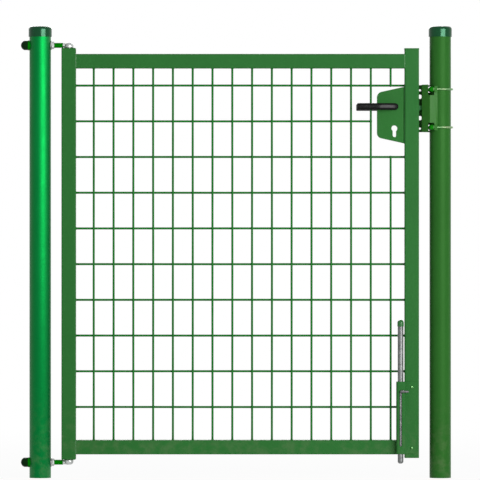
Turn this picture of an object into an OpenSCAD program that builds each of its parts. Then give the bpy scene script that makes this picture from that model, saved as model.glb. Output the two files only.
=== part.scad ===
// Single-leaf metal garden gate: a square-tube leaf filled with welded wire mesh, hung on
// adjustable eye bolts from one round post and latched into a keep clamped to the other.
// X runs from the hinge post to the latch post, Y from front to back, Z up.
// The origin is on the hinge post's axis, at its foot.

/* [Posts] */
// Outside diameter of both posts
post_d = 60; // [54:1:76]
// Wall of the post tube
post_wall = 2; // [1.5:0.5:4]
// How far a post rises above the top of the leaf
post_rise = 58; // [50:1:300]
// Skirt height of a post cap, outside
cap_h = 29; // [20:1:50]
// Thickness of a post cap, side and top
cap_wall = 2.4; // [1.5:0.1:4]
// Radius round the top edge of a post cap
cap_edge_r = 8; // [3:0.5:12]

/* [Leaf] */
// Width of the leaf over its stiles
leaf_w = 1000; // [800:10:1500]
// Height of the leaf over its hinge stile
leaf_h = 1152; // [900:10:1800]
// Gap under the leaf
ground_gap = 51; // [40:1:120]
// Gap between the hinge post and the leaf
hinge_gap = 30; // [24:1:60]
// Gap between the leaf and the latch post
latch_gap = 30; // [28:1:40]
// Side of the square tube
tube_w = 40; // [36:1:60]
// Wall of the square tube
tube_wall = 2; // [1.5:0.5:3]
// Outside corner radius of the square tube
tube_corner_r = 3; // [2.5:0.5:5]
// How far the top rail sits below the stile tops
top_rail_drop = 17; // [0:1:60]
// How far the bottom rail sits above the stile bottoms
bottom_rail_rise = 15; // [0:1:60]
// Thickness of the plates that close the hinge stile
end_plate_t = 5; // [3:0.5:8]
// Rounding of those plates' outer edges
plate_edge_r = 3; // [1:0.5:3]
// How far the latch stile's top cap stands out past the tube
end_cap_lip = 0.5; // [0:0.1:1.5]
// Thickness of that cap on top of the tube
end_cap_t = 4; // [1:0.5:6]
// How far the latch stile's plugs reach into the tube
end_plug_l = 8; // [4:1:20]

/* [Mesh] */
// Diameter of the wires
wire_d = 6; // [3:0.5:8]
// Spacing of the upright wires
upright_pitch = 55.4; // [40:0.1:80]
// Spacing of the cross wires
cross_pitch = 100; // [50:1:250]
// Hinge stile to the first upright wire
first_upright = 50; // [20:1:80]
// Top rail to the first cross wire
first_cross = 48; // [20:1:80]
// Least space left beside the last wire
last_space = 20; // [10:1:40]
// How deep the wires are welded into each other
weld_sink = 0.6; // [0.2:0.1:1.5]

/* [Hinges] */
// Diameter of the eye bolts
bolt_d = 12; // [10:1:16]
// Gap round an eye bolt in its post
bolt_clear = 0.5; // [0.3:0.1:1.5]
// Gap between a bolt and what is threaded or pushed on it
thread_gap = 0.1; // [0.05:0.05:0.3]
// Outside diameter of the eye
eye_d = 26; // [24:1:36]
// Height of the eye
eye_h = 13.4; // [12:0.2:20]
// Rounding of the eye's end away from the stile
eye_crown_r = 8.5; // [1:0.5:9]
// Rounding of the eye's end next to the stile
eye_edge_r = 1.5; // [0.5:0.5:2]
// Diameter of the pins on the hinge stile
pin_d = 12; // [10:1:14]
// Running gap between pin and eye
pin_clear = 0.3; // [0.1:0.05:0.6]
// Gap between an eye and the end of the stile
eye_gap = 0.8; // [0.6:0.1:5]
// How far a pin stands out past its eye
pin_over = 0; // [0:0.5:6]
// Chamfer round the end of a pin
pin_chamfer = 1; // [0.5:0.5:2]
// How far a pin runs into the stile
pin_root = 14; // [6:1:30]
// Diameter of the collar under the eye
collar_d = 20; // [16:1:24]
// Running gap between that collar and its eye
collar_gap = 0.1; // [0.1:0.05:0.4]
// Hexagon nuts of the eye bolts, across flats
nut_af = 18; // [17:1:24]
// Thickness of those nuts
nut_h = 9.5; // [8:0.5:14]
// Outside diameter of the lock nuts' flange
nut_flange_d = 26; // [24:1:34]
// Thickness of that flange at its rim
nut_flange_t = 1.5; // [1:0.5:3]
// Height of the flange's slope
nut_flange_rise = 4; // [2:0.5:5]
// Wall of the sleeve on the bolt
sleeve_wall = 0.9; // [0.6:0.1:4]
// Gap between the sleeve and the eye's centre line
sleeve_back = 16.5; // [14:0.5:24]
// Outside diameter of the saddle washers
saddle_d = 28; // [22:1:32]
// Thickness of a saddle washer on its centre line
saddle_t = 4; // [2:0.5:8]
// How far a bolt ends past its back nut
bolt_over = 2; // [1:0.5:8]
// Gap between a nut's corners and its plastic cap
nut_cap_gap = 0.5; // [0.2:0.1:2]
// Length of a nut cap
nut_cap_l = 20; // [16:0.5:30]
// Wall of a nut cap
nut_cap_wall = 2.4; // [1:0.1:3]
// Gap between the end of a bolt and the inside of its cap
cap_end_gap = 1; // [0.5:0.5:3]

/* [Lock] */
// Top of the leaf down to the lever's axis
lever_drop = 165; // [150:1:700]
// Outer edge of the leaf back to the lever's axis
lever_back = 68.5; // [60:0.5:90]
// Lever's axis down to the key cylinder's axis
cylinder_drop = 60; // [50:1:92]
// Width of the lock box
box_w = 77; // [60:1:120]
// Thickness of the lock box
box_t = 30; // [24:1:36]
// Lever's axis up to the top of the lock box at the stile
box_rise = 56.5; // [40:0.5:80]
// Lever's axis down to the bottom of the lock box at the stile
box_fall = 102; // [95:1:140]
// Slope of the lock box's top and bottom edges
box_taper = 12.5; // [0:0.5:20]
// Radius of the lock box's corners
box_corner_r = 15; // [5:1:20]
// Width of the bevel down the lock box's faces next to the stile
box_bevel_w = 7; // [2:0.5:12]
// Depth of that bevel at the stile
box_bevel_in = 3; // [1:0.5:6]
// Round part of the key cylinder's hole
key_d = 17; // [17:0.5:19]
// Stem of the key cylinder's hole, across
key_stem_w = 10; // [8:0.5:11]
// Height of the key cylinder's hole
key_h = 33; // [30:0.5:36]
// Side of the square spindle
spindle_w = 8; // [7:1:10]
// Gap round the spindle's corners in the lock box
spindle_clear = 0.5; // [0.3:0.1:2]
// Width of the lock's forend
forend_w = 24; // [18:1:30]
// Thickness of the forend
forend_t = 2.5; // [1.5:0.5:4]
// Gap on each side of the forend in the stile's slot
forend_gap = 0.5; // [0.1:0.1:1]
// Width of the lock case inside the stile
case_t = 16; // [14:1:20]
// Height of the lock case above and below the bolts
case_margin = 24; // [12:1:30]
// Depth of the lock case behind the forend
case_depth = 36; // [30:1:37]
// Back wall of the lock case
case_wall = 4; // [2:0.5:6]

/* [Lever and latch] */
// Spindle axis to the free end of a lever
lever_l = 105.5; // [80:0.5:140]
// Height of a lever
lever_h = 19; // [16:0.5:28]
// Thickness of a lever
lever_t = 9; // [6:0.5:14]
// How far a lever stands out from the lock box
lever_reach = 45; // [38:1:70]
// Outer radius of a lever's bend
lever_bend_r = 24; // [16:1:30]
// Rounding along a lever's edges
lever_edge_r = 3; // [1:0.5:4]
// Gap between a lever's hub and the lock box
hub_gap = 0.5; // [0.3:0.1:2]
// Lever's axis down to the middle of the latch bolt
latch_drop = 2.5; // [0:0.5:6]
// Height of the latch bolt
latch_h = 13; // [12:1:24]
// Thickness of the latch bolt
latch_t = 11; // [8:0.5:12]
// How far the latch bolt stands out of the forend
latch_out = 13.5; // [10:0.5:16]
// Running gap round the latch bolt
latch_clear = 0.5; // [0.3:0.1:1]
// Room behind the latch bolt when it is drawn back
latch_room = 1; // [0.5:0.5:4]
// Flat on the latch bolt's tip, and where its bevel starts off the forend
latch_flat = 2; // [1:0.5:4]
// Height of the dead bolt
dead_h = 26; // [16:1:32]

/* [Keep] */
// Leaf edge to the keep's web
keep_gap = 8; // [7:0.5:10]
// Sheet thickness of the keep
keep_t = 3; // [2:0.5:4]
// Height of the keep
keep_h = 132; // [120:1:160]
// How far the keep rises above the lever's axis
keep_rise = 62; // [50:1:80]
// Width of the keep's web
web_w = 34; // [30:1:44]
// Half width of the keep at its ridge
ridge_y = 36; // [34:0.5:44]
// Post axis back to where the keep's wings bear on the post
wing_bite = 9; // [6:0.5:14]
// Free space left round the bolts in the keep's windows
window_gap = 3; // [2:0.5:4]
// Diameter of the U-bolts
ubolt_d = 6; // [5:1:10]
// Ends of the keep to the U-bolts' centre lines
ubolt_inset = 12.7; // [11:0.1:20]
// Gap between the U-bolts and the post
clamp_gap = 0.1; // [0.1:0.1:0.5]
// Height of a clamp tab
tab_h = 17; // [14:1:24]
// Width of a clamp tab's return, which stiffens its outer edge
tab_return = 8.5; // [5:0.5:12]
// Gap between a clamp washer and the post, along the U-bolt's leg
washer_gap = 5.6; // [0.5:0.1:8]
// How far a clamp tab reaches past the U-bolt's leg
tab_over = 8; // [6:0.5:12]
// Clamp nuts, across flats
clamp_nut_af = 10; // [8:1:17]
// Thickness of a clamp nut
clamp_nut_h = 5; // [4:0.5:13]
// Diameter of a clamp washer
washer_d = 12; // [10:1:24]
// Thickness of a clamp washer
washer_t = 1.5; // [1:0.5:3]
// Upper U-bolt down to the front wing, which is cut away there for its nut
upper_nut_room = 17; // [12:0.5:20]
// Lower U-bolt up to the front wing
lower_nut_room = 12.5; // [12:0.5:20]
// How far a U-bolt's leg ends past its nut
leg_over = 3; // [1:0.5:5]
// Gap between a clamp nut's corners and its plastic cap
clamp_cap_gap = 0.2; // [0.1:0.1:1]
// Wall of a clamp nut's cap
clamp_cap_wall = 1.1; // [0.8:0.1:2]
// Length of a clamp nut's cap
clamp_cap_l = 13.5; // [12:0.5:20]
// Free space in front of and beside those caps
clamp_cap_room = 1; // [0.5:0.5:3]
// Gap between the shut leaf and its closing stop
stop_gap = 5; // [5:0.5:8]
// How far the closing stop reaches behind the stile
stop_lap = 18; // [10:1:30]
// Width of the closing stop's long holes
stop_slot_w = 9; // [6:0.5:10]
// Height of the closing stop's long holes
stop_slot_h = 12; // [11:0.5:16]
// Diameter of the closing stop's round holes
stop_hole_d = 6; // [4:0.5:8]
// Top of the closing stop down to its upper round hole
upper_hole_inset = 14.5; // [8:0.5:20]
// Bottom of the closing stop up to its lower round hole
lower_hole_inset = 10; // [8:0.5:20]
// Upper round hole down to the upper long hole
upper_slot_step = 18; // [16:0.5:30]
// Lower round hole up to the lower long hole
lower_slot_step = 29.5; // [16:0.5:34]

/* [Drop bolt] */
// Diameter of the drop rod
rod_d = 16; // [12:1:20]
// Length of the drop rod
rod_l = 393; // [330:1:600]
// Rounding of the rod's tip
rod_tip_r = 6; // [1:0.5:6]
// Height of the raised rod's tip above the ground
rod_tip_z = 41; // [20:1:60]
// Gap between the rod and the front of the bottom rail
rod_stand_off = 3; // [2:0.5:8]
// Gap between the rod and the stile
rod_side_gap = 4; // [4:0.5:8]
// Running gap round the rod in its guides
rod_clear = 0.3; // [0.2:0.1:0.6]
// Wall of the rod's plastic cap
ball_wall = 0.9; // [0.6:0.1:3]
// How far the ball cap covers the rod
ball_skirt = 10; // [6:0.5:16]
// Length of the drop bolt's cover
cover_h = 202; // [190:1:300]
// Bottom of the cover above the bottom of the bottom rail
cover_rise = 2; // [0:1:20]
// Sheet thickness of the cover
cover_t = 2; // [1.5:0.5:3]
// Gap between the rod and the cover's sheet
cover_gap = 2; // [1.5:0.5:5]
// Outer edge of the leaf back to the edge of the cover's flange
flange_inset = 6; // [2:1:16]
// Thickness of the two guides
guide_t = 3; // [2:0.5:6]
// Diameter of the rod's handle
handle_d = 6; // [5:0.5:8]
// Gap on each side of the handle in the slot
slot_clear = 0.5; // [0.4:0.1:1]
// Travel of the drop bolt
drop_travel = 150; // [100:1:160]
// How far the slot starts below the top of the cover
slot_top = 24; // [16:1:40]
// How far the handle stands in front of the cover
handle_reach = 9; // [7:0.5:16]
// How far the handle reaches sideways
handle_side = 22; // [14:1:30]

/* [Hidden] */
$fn = 64;
over = 1;

leaf_left = post_d / 2 + hinge_gap;
leaf_right = leaf_left + leaf_w;
leaf_top = ground_gap + leaf_h;
tube_bottom = ground_gap + end_plate_t;
tube_top = leaf_top - end_plate_t;
latch_post_x = leaf_right + latch_gap + post_d / 2;
post_h = leaf_top + post_rise;
cap_gap = 0.1;

inner_left = leaf_left + tube_w;
inner_right = leaf_right - tube_w;
top_rail_z = leaf_top - top_rail_drop - tube_w / 2;
bottom_rail_z = ground_gap + bottom_rail_rise + tube_w / 2;
inner_top = top_rail_z - tube_w / 2;
inner_bottom = bottom_rail_z + tube_w / 2;

hinge_x = leaf_left + tube_w / 2;
eye_rise = eye_gap + eye_h / 2;
collar_t = eye_gap - collar_gap;
top_eye_z = leaf_top + eye_rise;
bottom_eye_z = ground_gap - eye_rise;
back_nut_x = -post_d / 2 - saddle_t;
bolt_start_x = back_nut_x - nut_h - bolt_over;
sleeve_x = post_d / 2 + nut_h;
sleeve_d = bolt_d + 2 * (thread_gap + sleeve_wall);
nut_cap_d = nut_af / cos(30) + 2 * (nut_cap_gap + nut_cap_wall);
clamp_cap_d = clamp_nut_af / cos(30) + 2 * (clamp_cap_gap + clamp_cap_wall);

lever_x = leaf_right - lever_back;
lever_z = leaf_top - lever_drop;
latch_z = lever_z - latch_drop;
key_z = lever_z - cylinder_drop;
box_left = inner_right - box_w;
box_top = lever_z + box_rise;
box_bottom = lever_z - box_fall;
forend_back = leaf_right - forend_t;
case_back = leaf_right - case_depth;
case_top = latch_z + latch_h / 2 + case_margin;
case_bottom = key_z - dead_h / 2 - case_margin / 2;
bolt_back = case_back + case_wall;

keep_x = leaf_right + keep_gap;
keep_top = lever_z + keep_rise;
keep_bottom = keep_top - keep_h;
ridge_x = latch_post_x - post_d / 2;
wing_end_x = latch_post_x - wing_bite;
wing_end_y = sqrt(pow(post_d / 2, 2) - pow(wing_bite, 2));
ubolt_r = post_d / 2 + ubolt_d / 2 + clamp_gap;
ubolt_zs = [keep_top - ubolt_inset, keep_bottom + ubolt_inset];
washer_x = latch_post_x - washer_gap - sqrt(pow(post_d / 2, 2) - pow(ubolt_r - washer_d / 2, 2));
tab_x = washer_x + keep_t / 2;
rear_nut_room = clamp_cap_d / 2 + clamp_cap_room;
nut_end_x = washer_x - washer_t;
ubolt_end_x = nut_end_x - clamp_nut_h - leg_over;
stop_y = tube_w / 2 + stop_gap;
stop_hole_zs = [keep_top - upper_hole_inset, keep_bottom + lower_hole_inset];
stop_slot_zs = [stop_hole_zs[0] - upper_slot_step, stop_hole_zs[1] + lower_slot_step];

rod_x = inner_right - rod_side_gap - rod_d / 2;
rod_y = -tube_w / 2 - rod_stand_off - rod_d / 2;
rod_top_z = rod_tip_z + rod_l;
cover_bottom = bottom_rail_z - tube_w / 2 + cover_rise;
cover_top = cover_bottom + cover_h;
cover_left = rod_x - rod_d / 2 - cover_gap - cover_t / 2;
cover_right = inner_right - cover_t / 2;
cover_front = rod_y - rod_d / 2 - cover_gap - cover_t / 2;
cover_seat = -tube_w / 2;
ball_d = rod_d + 2 * (thread_gap + ball_wall);
slot_w = handle_d + 2 * slot_clear;
handle_z = cover_top - slot_top - slot_w / 2;

// Mesh wires, by number from the hinge stile and from the top rail
upright_count = floor((inner_right - inner_left - first_upright - last_space) / upright_pitch) + 1;
cross_count = floor((inner_top - inner_bottom - first_cross - last_space) / cross_pitch) + 1;
function upright_x(i) = inner_left + first_upright + i * upright_pitch;
function cross_z(j) = inner_top - first_cross - j * cross_pitch;
// A wire in the lock box's way stops at the nearest wire that runs past the box
function upright_stops(i) = upright_x(i) > box_left - wire_d;
function cross_stops(j) = abs(cross_z(j) - (box_top + box_bottom) / 2)
    < (box_top - box_bottom + wire_d) / 2;
free_uprights = [for (i = [0 : upright_count - 1]) if (!upright_stops(i)) upright_x(i)];
crosses_above = [for (j = [0 : cross_count - 1])
    if (!cross_stops(j) && cross_z(j) > box_top) cross_z(j)];
crosses_below = [for (j = [0 : cross_count - 1])
    if (!cross_stops(j) && cross_z(j) < box_bottom) cross_z(j)];
cutout_left = max(concat(free_uprights, [inner_left])) + wire_d / 2;
cutout_top = min(concat(crosses_above, [inner_top])) - wire_d / 2;
cutout_bottom = max(concat(crosses_below, [inner_bottom])) + wire_d / 2;

post_green = "#18B850";
moss_green = "#2F6A28";
cap_green = "#0B4A26";
leaf_green = "#2C7A30";
wire_green = "#1F8A24";
sleeve_green = "#0E8A10";
dark_plastic = "#16301A";
black_plastic = "#161616";
zinc = "#B9BDBB";

// ---- shapes used by several pieces ----

// Rectangle with round corners, centred
module rounded_rect(w, h, r) {
    square([w - 2 * r, h], center = true);
    square([w, h - 2 * r], center = true);
    for (x = [-1, 1], y = [-1, 1])
        translate([x * (w / 2 - r), y * (h / 2 - r)]) circle(r);
}

// Cross-section of folded sheet along its centre line, with rounded folds
module sheet_path(points, t) {
    for (i = [0 : len(points) - 2]) {
        step = points[i + 1] - points[i];
        translate(points[i]) rotate(atan2(step.y, step.x)) translate([0, -t / 2])
            square([norm(step), t]);
    }
    for (i = [1 : len(points) - 2]) translate(points[i]) circle(d = t);
}

// Quarter of a disc, in the upper right
module quarter_disc(r) intersection() {
    circle(r);
    square(r);
}

// Round bar or bore along X, from x = 0
module rod_x_axis(l, d) {
    rotate([0, 90, 0]) cylinder(h = l, d = d);
}

// Hexagon nut along X, from x = 0, with both faces chamfered by 30 degrees
module nut(af, h, bore) {
    face_r = 0.475 * af;
    wide_r = af / cos(30) / 2 + over;
    chamfer = (wide_r - face_r) * tan(30);
    rotate([0, 90, 0]) difference() {
        intersection() {
            cylinder(h = h, d = af / cos(30), $fn = 6);
            rotate_extrude() polygon([
                [0, 0], [face_r, 0], [wide_r, chamfer],
                [wide_r, h - chamfer], [face_r, h], [0, h]
            ]);
        }
        translate([0, 0, -over]) cylinder(h = h + 2 * over, d = bore);
    }
}

// Domed plastic cap over a nut and the end of its bolt, against X from x = 0
module domed_cap(d, l, wall, room) {
    straight = l / 2;
    rotate([0, -90, 0]) rotate_extrude() difference() {
        union() {
            square([d / 2, straight]);
            translate([0, straight]) intersection() {
                crown(d / 2, l - straight);
                square([d / 2, l - straight]);
            }
        }
        translate([-over, -over]) square([d / 2 - wall + over, room + over]);
    }
}

// Disc whose arc passes through (r, 0) and (0, h)
module crown(r, h) {
    arc_r = (r * r + h * h) / (2 * h);
    translate([0, h - arc_r]) circle(arc_r, $fn = 128);
}

// ---- posts ----

module post(x, bolt_zs) {
    translate([x, 0, 0]) difference() {
        cylinder(h = post_h, d = post_d);
        translate([0, 0, -over]) cylinder(h = post_h + 2 * over, d = post_d - 2 * post_wall);
        for (z = bolt_zs) translate([-post_d / 2 - over, 0, z])
            rod_x_axis(post_d + 2 * over, bolt_d + 2 * bolt_clear);
    }
}

// Plastic cap pushed over a post, with a rounded top edge
module post_cap(x) {
    skirt_r = post_d / 2 + cap_gap + cap_wall;
    translate([x, 0, post_h + cap_wall - cap_h]) rotate_extrude() {
        difference() {
            union() {
                square([skirt_r, cap_h - cap_edge_r]);
                square([skirt_r - cap_edge_r, cap_h]);
                translate([skirt_r - cap_edge_r, cap_h - cap_edge_r]) quarter_disc(cap_edge_r);
            }
            translate([0, -over]) square([post_d / 2 + cap_gap, cap_h - cap_wall + over]);
        }
    }
}

module hinge_post() color(post_green) post(0, [bottom_eye_z, top_eye_z]);
module latch_post() color(moss_green) post(latch_post_x, []);
module hinge_post_cap() color(cap_green) post_cap(0);
module latch_post_cap() color(cap_green) post_cap(latch_post_x);

// ---- hinges: each is built at the height z of its eye ----

// Half section of an eye, with its crown up
module eye_section() {
    crown_r = min(eye_crown_r, eye_h - 2 * eye_edge_r);
    crown_x = eye_d / 2 - crown_r;
    edge_x = eye_d / 2 - eye_edge_r;
    translate([0, eye_edge_r - eye_h / 2]) square([eye_d / 2, eye_h - eye_edge_r - crown_r]);
    translate([0, eye_h / 2 - crown_r]) square([crown_x, crown_r]);
    translate([crown_x, eye_h / 2 - crown_r]) quarter_disc(crown_r);
    translate([0, -eye_h / 2]) square([edge_x, eye_edge_r]);
    translate([edge_x, eye_edge_r - eye_h / 2]) mirror([0, 1]) quarter_disc(eye_edge_r);
}

// Forged eye and bolt: side is 1 where the crown is up and -1 where it is down
module eye_bolt(z, side) {
    bore = pin_d + 2 * pin_clear;
    translate([0, 0, z]) difference() {
        union() {
            translate([hinge_x, 0, 0]) mirror([0, 0, side < 0 ? 1 : 0]) rotate_extrude() eye_section();
            translate([bolt_start_x, 0, 0])
                rod_x_axis(hinge_x - bore / 2 - over - bolt_start_x, bolt_d);
        }
        translate([hinge_x, 0, -eye_h / 2 - over]) cylinder(h = eye_h + 2 * over, d = bore);
    }
}

module sleeve(z) {
    l = hinge_x - sleeve_back - sleeve_x;
    translate([sleeve_x, 0, z]) difference() {
        rod_x_axis(l, sleeve_d);
        translate([-over, 0, 0]) rod_x_axis(l + 2 * over, bolt_d + 2 * thread_gap);
    }
}

// Nut with a sloping flange against the post
module lock_nut(z) {
    bore = bolt_d + 2 * thread_gap;
    translate([post_d / 2, 0, z]) difference() {
        union() {
            nut(nut_af, nut_h, bore);
            rotate([0, 90, 0]) rotate_extrude() polygon([
                [0, 0], [nut_flange_d / 2, 0], [nut_flange_d / 2, nut_flange_t],
                [nut_af / 2 - over, nut_flange_t + nut_flange_rise],
                [0, nut_flange_t + nut_flange_rise]
            ]);
        }
        translate([-over, 0, 0]) rod_x_axis(nut_h + 2 * over, bore);
    }
}

// Washer hollowed to the round of the post
module saddle(z) {
    translate([0, 0, z]) difference() {
        translate([back_nut_x, 0, 0]) rod_x_axis(saddle_d / 2 + saddle_t, saddle_d);
        cylinder(h = saddle_d + 2 * over, d = post_d, center = true);
        translate([back_nut_x - over, 0, 0]) rod_x_axis(saddle_d, bolt_d + 2 * bolt_clear);
    }
}

module back_nut(z) {
    translate([back_nut_x - nut_h, 0, z]) nut(nut_af, nut_h, bolt_d + 2 * thread_gap);
}

// Cap over the back nut
module nut_cap(z) {
    translate([back_nut_x, 0, z])
        domed_cap(nut_cap_d, nut_cap_l, nut_cap_wall, nut_h + bolt_over + cap_end_gap);
}

// Pin fixed in one end of the hinge stile: side is 1 at the top and -1 at the bottom
module hinge_pin(z, side) {
    l = pin_root + eye_gap + eye_h + pin_over;
    translate([hinge_x, 0, z]) mirror([0, 0, side < 0 ? 1 : 0]) {
        translate([0, 0, -pin_root]) cylinder(h = l - pin_chamfer, d = pin_d);
        translate([0, 0, l - pin_root - pin_chamfer])
            cylinder(h = pin_chamfer, d1 = pin_d, d2 = pin_d - 2 * pin_chamfer);
        cylinder(h = collar_t, d = collar_d);
    }
}

module top_hinge_eye_bolt() color(zinc) eye_bolt(top_eye_z, 1);
module top_hinge_sleeve() color(sleeve_green) sleeve(top_eye_z);
module top_hinge_lock_nut() color(zinc) lock_nut(top_eye_z);
module top_hinge_saddle() color(sleeve_green) saddle(top_eye_z);
module top_hinge_back_nut() color(zinc) back_nut(top_eye_z);
module top_hinge_nut_cap() color(dark_plastic) nut_cap(top_eye_z);
module bottom_hinge_eye_bolt() color(zinc) eye_bolt(bottom_eye_z, -1);
module bottom_hinge_sleeve() color(sleeve_green) sleeve(bottom_eye_z);
module bottom_hinge_lock_nut() color(zinc) lock_nut(bottom_eye_z);
module bottom_hinge_saddle() color(sleeve_green) saddle(bottom_eye_z);
module bottom_hinge_back_nut() color(zinc) back_nut(bottom_eye_z);
module bottom_hinge_nut_cap() color(dark_plastic) nut_cap(bottom_eye_z);
module top_hinge_pin() color(zinc) hinge_pin(leaf_top, 1);
module bottom_hinge_pin() color(zinc) hinge_pin(ground_gap, -1);

// ---- leaf ----

module tube_inside()
    rounded_rect(tube_w - 2 * tube_wall, tube_w - 2 * tube_wall, tube_corner_r - tube_wall + 0.01);

module tube_section() {
    difference() {
        rounded_rect(tube_w, tube_w, tube_corner_r);
        tube_inside();
    }
}

module stile(x) {
    translate([x, 0, tube_bottom]) linear_extrude(tube_top - tube_bottom) tube_section();
}

module rail(z) {
    translate([inner_left, 0, z]) rotate([0, 90, 0])
        linear_extrude(inner_right - inner_left) tube_section();
}

module hinge_stile() color(leaf_green) stile(hinge_x);
module top_rail() color(leaf_green) rail(top_rail_z);
module bottom_rail() color(leaf_green) rail(bottom_rail_z);

// The latch stile is slotted in its outer face for the forend, which seats on the slot's ends
module latch_stile() color(leaf_green) difference() {
    stile(leaf_right - tube_w / 2);
    translate([leaf_right - tube_wall - over, -forend_w / 2 - forend_gap, box_bottom])
        cube([tube_wall + 2 * over, forend_w + 2 * forend_gap, box_top - box_bottom]);
}

// Side view of an end plate, with the edges away from the tube rounded
module plate_side() {
    side_h = end_plate_t - plate_edge_r;
    flat_w = tube_w - 2 * plate_edge_r;
    translate([-tube_w / 2, 0]) square([tube_w, side_h]);
    translate([-flat_w / 2, 0]) square([flat_w, end_plate_t]);
    for (side = [0, 1]) mirror([side, 0]) translate([flat_w / 2, side_h]) quarter_disc(plate_edge_r);
}

// Plate on one end of the hinge stile, with a hole for the pin
module end_plate() intersection() {
    linear_extrude(end_plate_t) difference() {
        rounded_rect(tube_w, tube_w, tube_corner_r);
        circle(d = pin_d + 2 * thread_gap);
    }
    rotate([90, 0, 0]) linear_extrude(tube_w + 2 * over, center = true) plate_side();
    rotate([90, 0, 90]) linear_extrude(tube_w + 2 * over, center = true) plate_side();
}

module hinge_stile_plates() color(leaf_green) {
    translate([hinge_x, 0, tube_top]) end_plate();
    translate([hinge_x, 0, tube_bottom]) mirror([0, 0, 1]) end_plate();
}

// A cap with a lip on top of the latch stile, and a plug level with the tube at its foot
module latch_stile_caps() color(leaf_green) translate([leaf_right - tube_w / 2, 0, 0]) {
    for (z = [tube_bottom, tube_top - end_plug_l])
        translate([0, 0, z]) linear_extrude(end_plug_l) tube_inside();
    translate([0, 0, tube_top]) linear_extrude(end_cap_t)
        rounded_rect(tube_w + 2 * end_cap_lip, tube_w + 2 * end_cap_lip, tube_corner_r + end_cap_lip);
}

// Welded mesh: the upright wires lie in front of the cross wires
module upright_wire(x, z0, z1) {
    translate([x, -(wire_d - weld_sink) / 2, z0]) rotate(22.5)
        cylinder(h = z1 - z0, d = wire_d / cos(22.5), $fn = 8);
}

module cross_wire(z, x1) {
    translate([inner_left, (wire_d - weld_sink) / 2, z]) rotate([0, 90, 0]) rotate(22.5)
        cylinder(h = x1 - inner_left, d = wire_d / cos(22.5), $fn = 8);
}

module mesh_panel() color(wire_green) union() {
    for (i = [0 : upright_count - 1]) {
        if (upright_stops(i)) {
            if (len(crosses_above) > 0) upright_wire(upright_x(i), cutout_top, inner_top);
            if (len(crosses_below) > 0) upright_wire(upright_x(i), inner_bottom, cutout_bottom);
        } else {
            upright_wire(upright_x(i), inner_bottom, inner_top);
        }
    }
    for (j = [0 : cross_count - 1])
        cross_wire(cross_z(j), cross_stops(j) ? cutout_left : inner_right);
}

// ---- lock ----

// Outline of the lock box, x along the leaf and y up: its top and bottom edges close in
// towards the hinge side, and each is tangent to a round corner there
module box_outline() {
    r = box_corner_r;
    shrink = box_w * tan(box_taper);
    top_left = box_top - shrink;
    bottom_left = box_bottom + shrink;
    top_y = top_left + r * tan(box_taper) - r / cos(box_taper);
    bottom_y = bottom_left - r * tan(box_taper) + r / cos(box_taper);
    touch_x = box_left + r - r * sin(box_taper);
    polygon([
        [inner_right, box_bottom], [inner_right, box_top],
        [touch_x, top_y + r * cos(box_taper)], [box_left, top_y],
        [box_left, bottom_y], [touch_x, bottom_y - r * cos(box_taper)]
    ]);
    for (y = [top_y, bottom_y]) translate([box_left + r, y]) circle(r);
}

// Hole for a profile cylinder: round above, with a round-ended stem below
module key_outline() {
    stem_y = key_d / 2 + key_stem_w / 2 - key_h;
    circle(d = key_d);
    translate([-key_stem_w / 2, stem_y]) square([key_stem_w, -stem_y]);
    translate([0, stem_y]) circle(d = key_stem_w);
}

module lock_box() color(leaf_green) difference() {
    translate([0, box_t / 2, 0]) rotate([90, 0, 0]) linear_extrude(box_t) difference() {
        box_outline();
        translate([lever_x, key_z]) key_outline();
        translate([lever_x, lever_z]) circle(d = spindle_w * sqrt(2) + 2 * spindle_clear);
    }
    for (side = [-1, 1]) box_bevel(side);
}

// What the bevel takes off one face of the lock box
module box_bevel(side) {
    inner_y = box_t / 2 - box_bevel_in * (box_bevel_w + over) / box_bevel_w;
    translate([0, 0, box_bottom - over]) linear_extrude(box_top - box_bottom + 2 * over) polygon([
        [inner_right - box_bevel_w, side * box_t / 2], [inner_right + over, side * inner_y],
        [inner_right + over, side * (box_t / 2 + over)],
        [inner_right - box_bevel_w, side * (box_t / 2 + over)]
    ]);
}

// Case inside the stile, with a channel for each bolt
module lock_case() color(zinc) difference() {
    translate([case_back, -case_t / 2, case_bottom])
        cube([forend_back - case_back, case_t, case_top - case_bottom]);
    bolt_block(latch_clear, latch_z, latch_h, bolt_back, leaf_right);
    bolt_block(latch_clear, key_z, dead_h, bolt_back, leaf_right);
}

// Block that a bolt fills between two places, with a gap all round
module bolt_block(gap, z, h, x0, x1) {
    translate([x0, -latch_t / 2 - gap, z - h / 2 - gap])
        cube([x1 - x0, latch_t + 2 * gap, h + 2 * gap]);
}

module lock_forend() color(zinc) difference() {
    translate([forend_back, -forend_w / 2, box_bottom])
        cube([forend_t, forend_w, box_top - box_bottom]);
    bolt_block(latch_clear, latch_z, latch_h, forend_back - over, leaf_right + over);
    bolt_block(latch_clear, key_z, dead_h, forend_back - over, leaf_right + over);
}

// The dead bolt is drawn back, level with the forend
module dead_bolt() color(zinc) bolt_block(0, key_z, dead_h, bolt_back, leaf_right);

// Latch bolt: flat in front, bevelled behind so that it rides over the keep as the gate shuts
module latch_bolt() color(leaf_green) translate([0, 0, latch_z - latch_h / 2])
    linear_extrude(latch_h) polygon([
        [bolt_back + latch_out + latch_room, -latch_t / 2],
        [leaf_right + latch_out, -latch_t / 2],
        [leaf_right + latch_out, -latch_t / 2 + latch_flat],
        [leaf_right + latch_flat, latch_t / 2],
        [bolt_back + latch_out + latch_room, latch_t / 2]
    ]);

// ---- levers ----

module lever_spindle() color(zinc) translate([lever_x, 0, lever_z])
    cube([spindle_w, box_t + 2 * (hub_gap + lever_bend_r / 2), spindle_w], center = true);

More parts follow.
